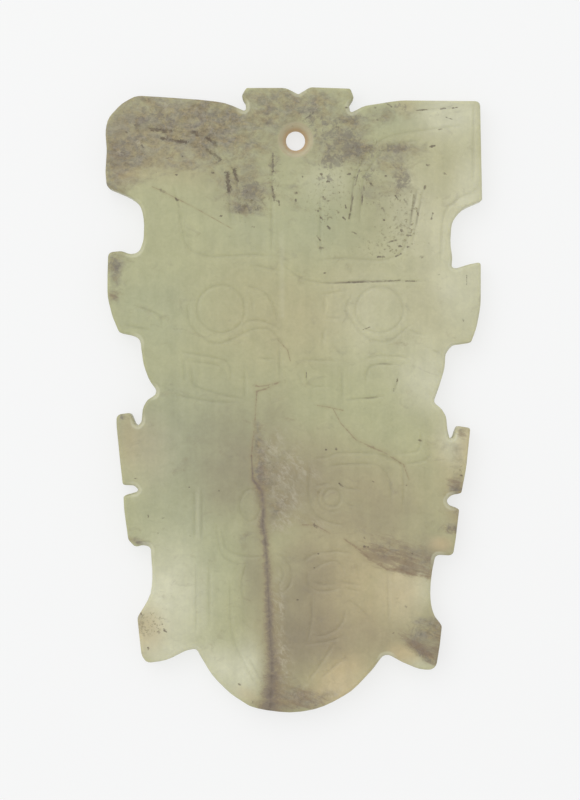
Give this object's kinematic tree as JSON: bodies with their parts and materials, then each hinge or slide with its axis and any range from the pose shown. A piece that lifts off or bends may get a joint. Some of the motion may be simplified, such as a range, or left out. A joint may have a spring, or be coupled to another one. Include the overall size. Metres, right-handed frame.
{
  "type": "monster mask pendant",
  "caption": "Flat jade plaque sawn to the outline of a horned monster face, with fine carved lines on one side and a drilled cord hole in its crest.",
  "frame": {"origin": "on the plain back, in the middle of the outline's box, with the plaque lying on its back", "axes": "+Y toward the crest with the cord hole, +Z out of the carved face"},
  "size_m": [0.0542, 0.09, 0.0042],
  "materials": {
    "jade": "soft polish, worn"
  },
  "bodies": {
    "root": {"mask_plaque": "jade"}
  },
  "joints": []
}
